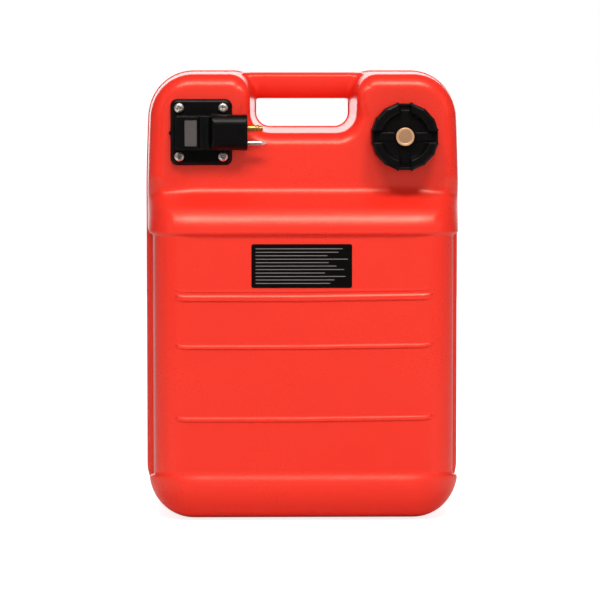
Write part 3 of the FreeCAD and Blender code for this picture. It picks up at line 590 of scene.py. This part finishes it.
thread = {"pitch": 5.0, "rootHalf": 1.2, "crestHalf": 0.6, "fade": 0.06, "sink": 1.0}


def helixRidge(height, across, up, root, crest, start, turns, turned=0.0):
    # distance to a ridge that winds round the neck's axis: it climbs by one pitch a turn, narrows
    # from the root radius to the crest radius, and fades out at both ends
    radius = np.hypot(across, up)
    turn = (np.degrees(np.arctan2(up, across)) - turned) / 360 % 1
    lap = np.round((height - start) / thread["pitch"] - turn)
    lap = np.clip(lap, 0, np.floor(turns - turn))
    fade = np.clip(np.minimum(lap + turn, turns - lap - turn) / thread["fade"], 0, 1)
    off = np.abs(height - start - thread["pitch"] * (lap + turn))
    depth = abs(crest - root)
    rise = (radius - root) * np.sign(crest - root)
    lean = (thread["rootHalf"] - thread["crestHalf"]) / depth
    flank = (off - thread["rootHalf"] + rise * lean) / math.hypot(1, lean)
    return np.maximum(flank, np.maximum(rise - depth * fade, -rise - thread["sink"]))


cap = {
    "radius": 26.2, "facets": 3, "lean": 3.0, "gapAngle": 10.5, "gapFlat": 26.0, "ear": 0.45,
    "earAngle": 3.0, "samples": 721, "smoothed": 9, "baseGap": 1.5, "underside": 17.0,
    "floor": 20.5, "top": 25.0, "skirt": 21.4, "chamfer": 1.9, "chamferLean": 30.0, "edge": 0.5,
    "topEdge": 0.1, "dish": 17.0, "dishLean": 0.49, "gapHalf": 4.85, "gapReach": 8.5,
    "webHalf": 3.3, "webFrom": 8.2, "webTo": 20.6, "webHeight": 1.1, "webEdge": 0.4,
    "webFoot": 0.3, "webSink": 1.0, "lipFrom": 24.2, "lipHeight": 1.3, "lipInset": 0.3,
    "bush": 5.0, "threadStart": 3.667, "threadTurns": 1.25, "threadTurned": 120.0,
    "threadDepth": 1.5,
}


def capOutline():
    # radius of the grip side for angles 0 to 90: flats at the gaps, leaning facets between them,
    # and an ear at each gap's edge, smoothed over about a degree
    angle = np.linspace(0, 90, cap["samples"])
    width = (90 - 2 * cap["gapAngle"]) / cap["facets"]
    facet = np.clip(np.floor((angle - cap["gapAngle"]) / width), 0, cap["facets"] - 1)
    middle = cap["gapAngle"] + (facet + 0.5) * width - cap["lean"]
    radius = cap["radius"] / np.cos(np.radians(angle - middle))
    fromGap = np.minimum(angle, 90 - angle)
    radius += cap["ear"] * (fromGap < cap["gapAngle"] + cap["earAngle"])
    flat = cap["gapFlat"] / np.cos(np.radians(fromGap))
    radius = np.where(fromGap < cap["gapAngle"], flat, radius)
    padded = np.pad(radius, cap["smoothed"] // 2, mode="edge")
    return angle, np.convolve(padded, np.ones(cap["smoothed"]) / cap["smoothed"], mode="valid")


def capField(x, y, z):
    # distance to the cap: the faceted side with a chamfered top, less the dish, the four gaps,
    # the threaded hollow and the vent's hole, with a web and a low lip in each gap
    height, across, up = onNeck(x, y, z)
    radius = np.hypot(across, up)
    folded = np.degrees(np.arctan2(np.abs(up), np.abs(across)))
    big = np.maximum(np.abs(across), np.abs(up))
    small = np.minimum(np.abs(across), np.abs(up))
    side = radius - np.interp(folded, *capOutline())
    over = height - cap["top"]
    lean = math.radians(cap["chamferLean"])
    chamfer = (side + cap["chamfer"]) * math.sin(lean) + over * math.cos(lean)
    body = roundBoth(roundBoth(side, chamfer, cap["edge"]), over, cap["topEdge"])
    body = np.maximum(body, cap["baseGap"] - height)
    floor = cap["floor"] - height
    dish = np.maximum(radius - cap["dish"] + floor * cap["dishLean"], floor)
    gap = np.maximum(np.maximum(small - cap["gapHalf"], floor), cap["gapReach"] - big)
    body = roundBoth(body, -np.minimum(dish, gap), cap["edge"])
    web = np.maximum(np.abs(big - (cap["webFrom"] + cap["webTo"]) / 2)
                     - (cap["webTo"] - cap["webFrom"]) / 2, small - cap["webHalf"])
    web = roundBoth(web, -floor - cap["webHeight"], cap["webEdge"])
    lip = np.maximum(np.maximum(cap["lipFrom"] - big, side + cap["lipInset"]),
                     small - cap["gapHalf"])
    lip = roundBoth(lip, -floor - cap["lipHeight"], cap["webEdge"])
    inset = np.maximum(np.minimum(web, lip), -floor - cap["webHeight"] * 2)
    body = blendEither(body, np.maximum(inset, floor - cap["webSink"]), cap["webFoot"])
    hollow = np.maximum(radius - cap["skirt"], height - cap["underside"])
    body = np.maximum(body, np.maximum(-hollow, cap["bush"] - radius))
    ridge = helixRidge(height, across, up, cap["skirt"], cap["skirt"] - cap["threadDepth"],
                       cap["threadStart"], cap["threadTurns"], cap["threadTurned"])
    return np.minimum(body, ridge)


neck = {"radius": 19.5, "bore": 16.5, "height": 15.0, "edge": 0.7, "threadStart": 4.5,
        "threadTurns": 1.5, "threadDepth": 1.5, "threadFoot": 0.3}


def neckField(x, y, z):
    # distance to the threaded neck down to the inside of the tank's wall
    height, across, up = onNeck(x, y, z)
    radius = np.hypot(across, up)
    tube = roundBoth(radius - neck["radius"], height - neck["height"], neck["edge"])
    tube = roundBoth(tube, neck["bore"] - radius, neck["edge"] / 2)
    ridge = helixRidge(height, across, up, neck["radius"], neck["radius"] + neck["threadDepth"],
                       neck["threadStart"], neck["threadTurns"])
    return np.maximum(blendEither(tube, ridge, neck["threadFoot"]), -height - tank["wall"])


vent = {"head": 7.2, "headHeight": 3.4, "shank": 3.0, "shankLength": 9.0, "seal": 1.5, "dish": 5.3,
        "dishDepth": 0.4, "dishLean": 0.5, "knurls": 30, "knurlDepth": 0.28, "knurlBand": 0.05,
        "knurlSteps": 8, "flat": 2.3, "flatEnd": 1.5, "tipRound": 0.4, "neckRound": 0.15,
        "seatRound": 0.3, "topRound": 0.55, "rimRound": 0.2, "dishRound": 0.3, "metallic": 0.6}


def makeVentScrew():
    # a knurled head with a shallow dish, and a shank with a flat for the air; gives its brass
    base = cap["floor"] + vent["seal"]
    top = base + vent["headHeight"]
    low = cap["floor"] - vent["shankLength"]
    profile = roundedPath([
        (0, low, 0), (vent["shank"], low, vent["tipRound"]), (vent["shank"], base, vent["neckRound"]),
        (vent["head"], base, vent["seatRound"]), (vent["head"], top, vent["topRound"]),
        (vent["dish"] + vent["dishLean"], top, vent["rimRound"]),
        (vent["dish"], top - vent["dishDepth"], vent["dishRound"]), (0, top - vent["dishDepth"], 0)])

    def knurled(radius, along, angle):
        grip = vent["knurlDepth"] * (0.5 + 0.5 * np.cos(vent["knurls"] * angle))
        head = np.where(radius > vent["head"] - vent["knurlBand"], radius - grip, radius)
        flat = np.minimum(head, vent["flat"] / np.maximum(np.cos(angle), 0.01))
        shank = along < cap["floor"] - vent["flatEnd"]
        return np.where(shank, flat, head)
    shelf = cornersOf("sender_gasket")[1].y
    middle = middleOf("vent_screw") / mm
    points, faces = revolve(profile, (middle.x, shelf, middle.z), "y",
                            vent["knurls"] * vent["knurlSteps"], knurled)
    brass = turnedBrass("ventBrass", srgb(214, 168, 130), middleOf("vent_screw"), "y",
                        vent["dish"] * mm, vent["metallic"])
    addPiece("ventScrew", points * mm, faces, "vent", brass, ["vent_screw"])
    return brass


# the sender plate and its fittings

sender = {
    "plateHalf": (24.25, 26.1), "plateCorner": 5.5, "plateThick": 4.0, "plateEdge": 3.0,
    "tab": 1.2, "tabHalf": 1.6, "tabEdge": 0.6, "tabStep": 1.0, "screwHole": 1.97,
    "screwAt": (17.25, 19.1), "spigot": 20.5, "overlap": 1.0,
    "housingLeft": 11.7, "housingRight": 5.95, "housingHalf": 13.0, "housingFace": 16.5,
    "housingCorner": 1.2, "housingEdge": 0.6, "windowHalf": (4.75, 10.25),
    "throatHalf": (5.6, 11.9), "throatFace": 13.9, "saddleMiddle": 10.6, "saddleRadius": 7.9,
    "saddleCrest": 15.6, "blockLeft": 16.5, "blockRight": 44.6, "blockHalf": 13.95,
    "blockRise": 0.5, "blockBack": 2.6, "blockFace": 19.4, "blockRound": 8.5,
    "blockEndBevel": 1.3, "edge": 0.5, "foot": 0.5,
}


def senderField(x, y, z):
    # distance to the moulded plate with its tab and spigot, gauge housing, saddle and connector
    # block, less the window, the gauge's throat and the screw holes; height runs from the
    # plate's underside, across and up from its middle, right and over from the gauge's
    low, high = cornersOf("sender_housing")
    underside = cornersOf("sender_gasket")[0].y
    plateX = low.x + sender["tab"] + sender["plateHalf"][0]
    height, across, up = underside - y, x - plateX, z - (low.z + high.z) / 2
    gauge = middleOf("gauge_lens") / mm
    right, over = x - gauge.x, z - gauge.z
    plate = roundBox(across, up, *sender["plateHalf"], sender["plateCorner"])
    plate = roundBoth(plate, height - sender["plateThick"], sender["plateEdge"])
    tabReach = across + sender["plateHalf"][0] + sender["tab"]
    tab = roundBoth(-tabReach, np.abs(over) - sender["tabHalf"], sender["tabEdge"])
    tab = np.maximum(np.maximum(tab, across), height - sender["plateThick"] + sender["tabStep"])
    body = np.maximum(np.minimum(plate, tab), -height)
    spigot = np.maximum(np.hypot(across, up) - sender["spigot"], height - sender["overlap"])
    body = np.minimum(body, np.maximum(spigot, -height - (high.y - underside)))

    half = (sender["housingLeft"] + sender["housingRight"]) / 2
    housing = roundBox(right + sender["housingLeft"] - half, over, half, sender["housingHalf"],
                       sender["housingCorner"])
    housing = roundBoth(housing, height - sender["housingFace"], sender["housingEdge"])
    centre = sender["saddleCrest"] - sender["saddleRadius"]
    saddle = np.hypot(right - sender["saddleMiddle"], np.maximum(height - centre, 0))
    saddle = roundBoth(saddle - sender["saddleRadius"], np.abs(over) - sender["housingHalf"],
                       sender["edge"])
    block = np.abs(over - sender["blockRise"]) - sender["blockHalf"]
    ends = np.abs(right - (sender["blockLeft"] + sender["blockRight"]) / 2)
    ends = ends - (sender["blockRight"] - sender["blockLeft"]) / 2
    face = height - sender["blockFace"]
    block = roundBoth(roundBoth(block, face, sender["blockRound"]),
                      bevelBoth(ends, face, sender["blockEndBevel"], sender["edge"]), sender["edge"])
    block = np.maximum(block, sender["blockBack"] - height)
    raised = np.minimum(blendEither(housing, saddle, sender["foot"]), block)
    body = blendEither(body, np.maximum(raised, -height), sender["foot"])

    window, throat = [np.maximum(np.abs(right) - sender[name][0], np.abs(over) - sender[name][1])
                      for name in ("windowHalf", "throatHalf")]
    throat = np.maximum(throat, height - sender["throatFace"])
    hole = np.hypot(np.abs(across) - sender["screwAt"][0], np.abs(up) - sender["screwAt"][1])
    return np.maximum(body, -np.minimum(np.minimum(window, throat), hole - sender["screwHole"]))


screw = {"head": 3.95, "headHeight": 2.6, "dome": 2.0, "seatEdge": 0.2, "shank": 1.95,
         "crossHalf": 0.62, "crossReach": 1.9, "crossDepth": 1.8, "crossLean": 0.2,
         "reachLean": 0.6, "turns": (18, 62, 41, 5), "spacing": 0.25}


def makeFlangeScrews(material):
    # one pan head screw from its distance field, set at the plate's four corners, each turned
    low, high = cornersOf("flange_screws")
    seat = low.y + screw["headHeight"]
    middle = (low + high) / 2

    def screwField(x, y, z):
        height, radius = seat - y, np.hypot(x, z)
        head = roundBoth(radius - screw["head"], height - screw["headHeight"], screw["dome"])
        head = roundBoth(head, -height, screw["seatEdge"])
        big, small = np.maximum(np.abs(x), np.abs(z)), np.minimum(np.abs(x), np.abs(z))
        depth = np.maximum(screw["headHeight"] - height, 0)
        cross = np.maximum(small - screw["crossHalf"] + depth * screw["crossLean"],
                           big - screw["crossReach"] + depth * screw["reachLean"])
        cross = np.maximum(cross, depth - screw["crossDepth"])
        shank = np.maximum(radius - screw["shank"], np.maximum(height, seat - high.y - height))
        return np.minimum(np.maximum(head, -cross), shank)
    across = evenLines(-screw["head"], screw["head"], screw["spacing"])
    axes = [across, evenLines(low.y, high.y, screw["spacing"]), across]
    points, faces, normals = fieldSkin(screwField, axes)
    places = [(side, level) for side in (-1, 1) for level in (-1, 1)]
    allPoints, allNormals, allFaces = [], [], []
    for i, ((side, level), turn) in enumerate(zip(places, screw["turns"])):
        cos, sin = math.cos(math.radians(turn)), math.sin(math.radians(turn))
        matrix = np.array([[cos, 0, sin], [0, 1, 0], [-sin, 0, cos]])
        at = (middle.x + side * sender["screwAt"][0], 0, middle.z + level * sender["screwAt"][1])
        allPoints.append(points @ matrix + at)
        allNormals.append(normals @ matrix)
        allFaces.append(faces + i * len(points))
    addPiece("flangeScrews", np.concatenate(allPoints) * mm, np.concatenate(allFaces), "tank",
             material, ["flange_screws"], np.concatenate(allNormals))


# turned pins as stops (radius, distance, rounding), measured from the block's face and then from
# the tip; a hollow one closes along its bore
nipple = {"face": [(1.4, -9.0, 0), (3.3, -9.0, 0.2), (3.3, -0.2, 0.15), (2.8, 0.1, 0.1),
                   (2.8, 5.9, 0.2), (2.25, 6.2, 0.2), (2.25, 6.8, 0.2), (2.8, 7.1, 0.2),
                   (2.8, 8.6, 0.3), (2.05, 9.3, 0.3)],
          "tip": [(2.05, 0, 0.5), (1.4, 0, 0.1)], "hollow": True}
pin = {"face": [(0, -10.0, 0), (1.7, -10.0, 0.2), (1.7, -0.4, 0.1), (2.1, 0.0, 0.1)],
       "tip": [(2.1, -4.2, 0.5), (0.45, 0, 0.3), (0, 0, 0)], "hollow": False}
connector = {"steps": 48, "guard": 0.06}


def addTurnedPin(name, node, turned, material):
    # a rounded profile turned about the node's own axis, which runs along x
    low, high = cornersOf(node)
    middle = (low + high) / 2
    start = low.x - turned["face"][0][1]
    length = high.x - start
    stops = turned["face"] + [(radius, length + past, rounding)
                              for radius, past, rounding in turned["tip"]]
    if turned["hollow"]:
        stops.append(stops[0])
    profile = roundedPath(stops, guard=connector["guard"])
    points, faces = revolve(profile, (start, middle.y, middle.z), "x", connector["steps"])
    addPiece(name, points * mm, faces, "tank", material, [node])


red = moulding("redMoulding", redLook)
black = moulding("blackMoulding", blackLook)
steel = plainMaterial("brightSteel", srgb(244, 240, 236), srgb(226, 222, 218), scale=300,
                      roughness=0.38, swing=0.08, depth=0.003 * mm, metallic=1.0)
rubber = plainMaterial("sealRubber", (0.012, 0.012, 0.013), (0.03, 0.03, 0.03), scale=700,
                       roughness=0.7, swing=0.2, detail=3, depth=0.03 * mm)
window = plainMaterial("windowPlastic", srgb(92, 87, 89), srgb(84, 80, 82), scale=300,
                       roughness=0.2, swing=0.06, specular=0.4)
milky = plainMaterial("pickupPlastic", srgb(228, 224, 208), srgb(212, 207, 190), scale=400,
                      roughness=0.42, swing=0.1, detail=3, depth=0.02 * mm)
foam = plainMaterial("floatFoam", (0.018, 0.018, 0.018), (0.05, 0.05, 0.05), scale=1100,
                     roughness=0.8, swing=0.1, detail=0, depth=0.15 * mm, kind="ShaderNodeTexVoronoi")
makeTankSkin(red)
fieldPiece("fillerNeck", neckField, "filler_cap", 0.55, "tank", red, replaced=())
fieldPiece("fillerCap", capField, "filler_cap", 0.5, "cap", black)
ventBrass = makeVentScrew()
fieldPiece("senderHousing", senderField, "sender_housing", 0.55, "tank", black)
makeFlangeScrews(steel)
nippleBrass = turnedBrass("nippleBrass", srgb(224, 170, 92), middleOf("fuel_nipple"), "x")
addTurnedPin("fuelNipple", "fuel_nipple", nipple, nippleBrass)
addTurnedPin("locatingPin", "locating_pin", pin, steel)

# materials of the pieces that keep their CAD shape

finishes = {
    "label": labelFilm(), "cap_gasket": rubber, "vent_seal": rubber, "sender_gasket": rubber,
    "vent_bush": ventBrass, "screw_inserts": nippleBrass, "gauge_lens": window,
    "float_bracket": steel, "bracket_screws": steel, "pivot_pin": steel, "float_wire": steel,
    "float_clips": steel, "indicator_drum": drumPlastic(), "tank_float": foam,
    "pickup_tube": milky, "strainer": milky,
}
for nodeName, finish in finishes.items():
    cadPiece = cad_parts[nodeName]
    cadPiece.data.materials.clear()
    cadPiece.data.materials.append(finish)
print("finishes on", len(finishes), "pieces")


# stage, light and camera

def makeStage():
    # a pale floor, dark far in front of the object and, for mirror-like rays, also straight in
    # front of it; a glow tops it up to white for rays from the camera and through clear pieces
    look = {"size": 40.0, "colour": (0.84, 0.84, 0.84), "dark": (0.05, 0.05, 0.05), "darkEdge": -0.9,
            "darkSoft": 0.4, "lift": 0.8, "mirrorLift": 0.1, "frontHalf": 0.15, "frontEdge": -0.05,
            "frontSoft": 0.06}
    mesh = bpy.data.meshes.new("floor")
    reach = look["size"] / 2
    mesh.from_pydata([(-reach, -reach, 0), (reach, -reach, 0), (reach, reach, 0), (-reach, reach, 0)],
                     [], [(0, 1, 2, 3)])
    floor = bpy.data.objects.new("floor", mesh)
    bpy.context.scene.collection.objects.link(floor)
    shader = Shader("floorPaint")
    seen, mirrored, through = shader.rays()
    x, y, z = shader.parts(shader.place())
    beside = x.magnitude().above(look["frontHalf"], look["frontSoft"])
    beside = y.above(look["frontEdge"], look["frontSoft"]).larger(beside)
    pale = y.above(look["darkEdge"], look["darkSoft"]) * (1 - mirrored * (1 - beside))
    colour = shader.mix(pale, look["dark"], look["colour"])
    paint = shader.node("ShaderNodeBsdfDiffuse", {}, {"Color": colour})
    lift = seen.larger(through) * (1 - pale * (1 - look["lift"]))
    lift = lift.larger(mirrored * pale * look["mirrorLift"])
    glow = shader.node("ShaderNodeEmission", {}, {"Color": (1, 1, 1, 1), "Strength": lift})
    both = shader.node("ShaderNodeAddShader", {}, {0: paint, 1: glow})
    shader.node("ShaderNodeOutputMaterial", {}, {"Surface": both})
    mesh.materials.append(shader.material)


def makeWorld():
    # white to the camera and through clear pieces; to mirror-like rays white behind, high up and
    # on a strip either side of the front, dark elsewhere; to all other rays a soft even lamp
    look = {"lamp": 0.35, "colour": (0.97, 0.985, 1.0), "dark": 0.04, "soft": 0.2,
            "backEdge": 0.7, "backTop": 0.55, "backHalf": 0.6, "backSoft": 0.3,
            "topEdge": 0.8, "topBack": -0.15, "strip": 0.7, "stripHalf": 0.12, "stripTop": 0.5,
            "stripSoft": 0.1}
    world = bpy.data.worlds.new("studio")
    bpy.context.scene.world = world
    world.use_nodes = True
    shader = Shader(tree=world.node_tree)
    seen, mirrored, through = shader.rays()
    x, y, z = shader.parts(shader.node("ShaderNodeTexCoord", output="Generated"))
    strip = 1 - (x.magnitude() - look["strip"]).magnitude().above(look["stripHalf"], look["stripSoft"])
    strip = strip * (1 - y.above(0, look["stripSoft"]))
    strip = strip * (1 - z.magnitude().above(look["stripTop"], look["soft"]))
    back = y.above(look["backEdge"], look["backSoft"])
    back = back * (1 - x.magnitude().above(look["backHalf"], look["backSoft"]))
    back = back * (1 - z.above(look["backTop"], look["soft"]))
    top = z.above(look["topEdge"], look["soft"]) * (1 - y.above(look["topBack"], look["soft"]))
    white = back.larger(top).larger(strip)
    bright = mirrored * (white * (1 - look["dark"]) + look["dark"])
    bright = seen.larger(bright).larger(through)
    lamp = look["lamp"] * (1 - mirrored)
    colour = shader.mix(bright, look["colour"], (1, 1, 1))
    light = shader.node("ShaderNodeBackground", {}, {"Color": colour, "Strength": lamp.larger(bright)})
    shader.node("ShaderNodeOutputWorld", {}, {"Surface": light})


def direction(azimuth, elevation):
    # unit vector from the object, in degrees right of straight ahead and above level
    azimuth, elevation = math.radians(azimuth), math.radians(elevation)
    return Vector((math.sin(azimuth) * math.cos(elevation), -math.cos(azimuth) * math.cos(elevation),
                   math.sin(elevation)))


def addLamp(name, place, aim, size, share, colour, mirrored=True):
    # an area lamp; share is the part of full daylight level that it gives a surface at aim,
    # and a lamp that isn't mirrored gives no highlight of its own
    data = bpy.data.lights.new(name, "AREA")
    data.shape = "RECTANGLE"
    data.size, data.size_y = size
    distance = (Vector(place) - Vector(aim)).length
    data.energy = share * math.pi ** 2 * distance ** 2
    data.color = colour
    lamp = bpy.data.objects.new(name, data)
    lamp.location = place
    lamp.rotation_mode = "QUATERNION"
    lamp.rotation_quaternion = (Vector(aim) - Vector(place)).to_track_quat("-Z", "Y")
    lamp.visible_glossy = mirrored
    bpy.context.scene.collection.objects.link(lamp)


def makeLamps():
    # two soft boxes above the front, left and right, a broad one straight ahead that gives no
    # highlights, and one for the light that the backdrop throws on the object
    look = {"aim": (0, -0.06, 0.2), "distance": 1.6, "elevation": 50, "azimuth": 17,
            "size": (0.4, 0.3), "share": (0.36, 0.42), "colour": (1.0, 0.94, 0.84),
            "frontal": {"place": (0.1, -2.2, 0.3), "size": (1.6, 0.8), "share": 0.17,
                        "colour": (1.0, 0.97, 0.94), "mirrored": False},
            "backdrop": {"place": (0, 2.4, 0.7), "size": (2.2, 1.2), "share": 0.2,
                         "colour": (1.0, 0.99, 0.98)}}
    aim = look["aim"]
    for name, side, share in zip(("softLeft", "softRight"), (-1, 1), look["share"]):
        ray = direction(side * look["azimuth"], look["elevation"])
        addLamp(name, Vector(aim) + ray * look["distance"], aim, look["size"], share, look["colour"])
    for name in ("frontal", "backdrop"):
        addLamp(name, aim=aim, **look[name])


def makeCamera():
    look = {"azimuth": -1.2, "elevation": 4.0, "distance": 2.5, "lens": 184.5, "sensor": 36,
            "aim": (-0.0016, 0.0, 0.1698)}
    back = direction(look["azimuth"], look["elevation"])
    data = bpy.data.cameras.new("camera")
    data.sensor_width = look["sensor"]
    data.lens = look["lens"]
    camera = bpy.data.objects.new("camera", data)
    camera.location = Vector(look["aim"]) + back * look["distance"]
    camera.rotation_mode = "QUATERNION"
    camera.rotation_quaternion = (-back).to_track_quat("-Z", "Y")
    bpy.context.scene.collection.objects.link(camera)
    bpy.context.scene.camera = camera


makeStage()
makeWorld()
makeLamps()
makeCamera()
bpy.context.scene.view_settings.view_transform = "Standard"
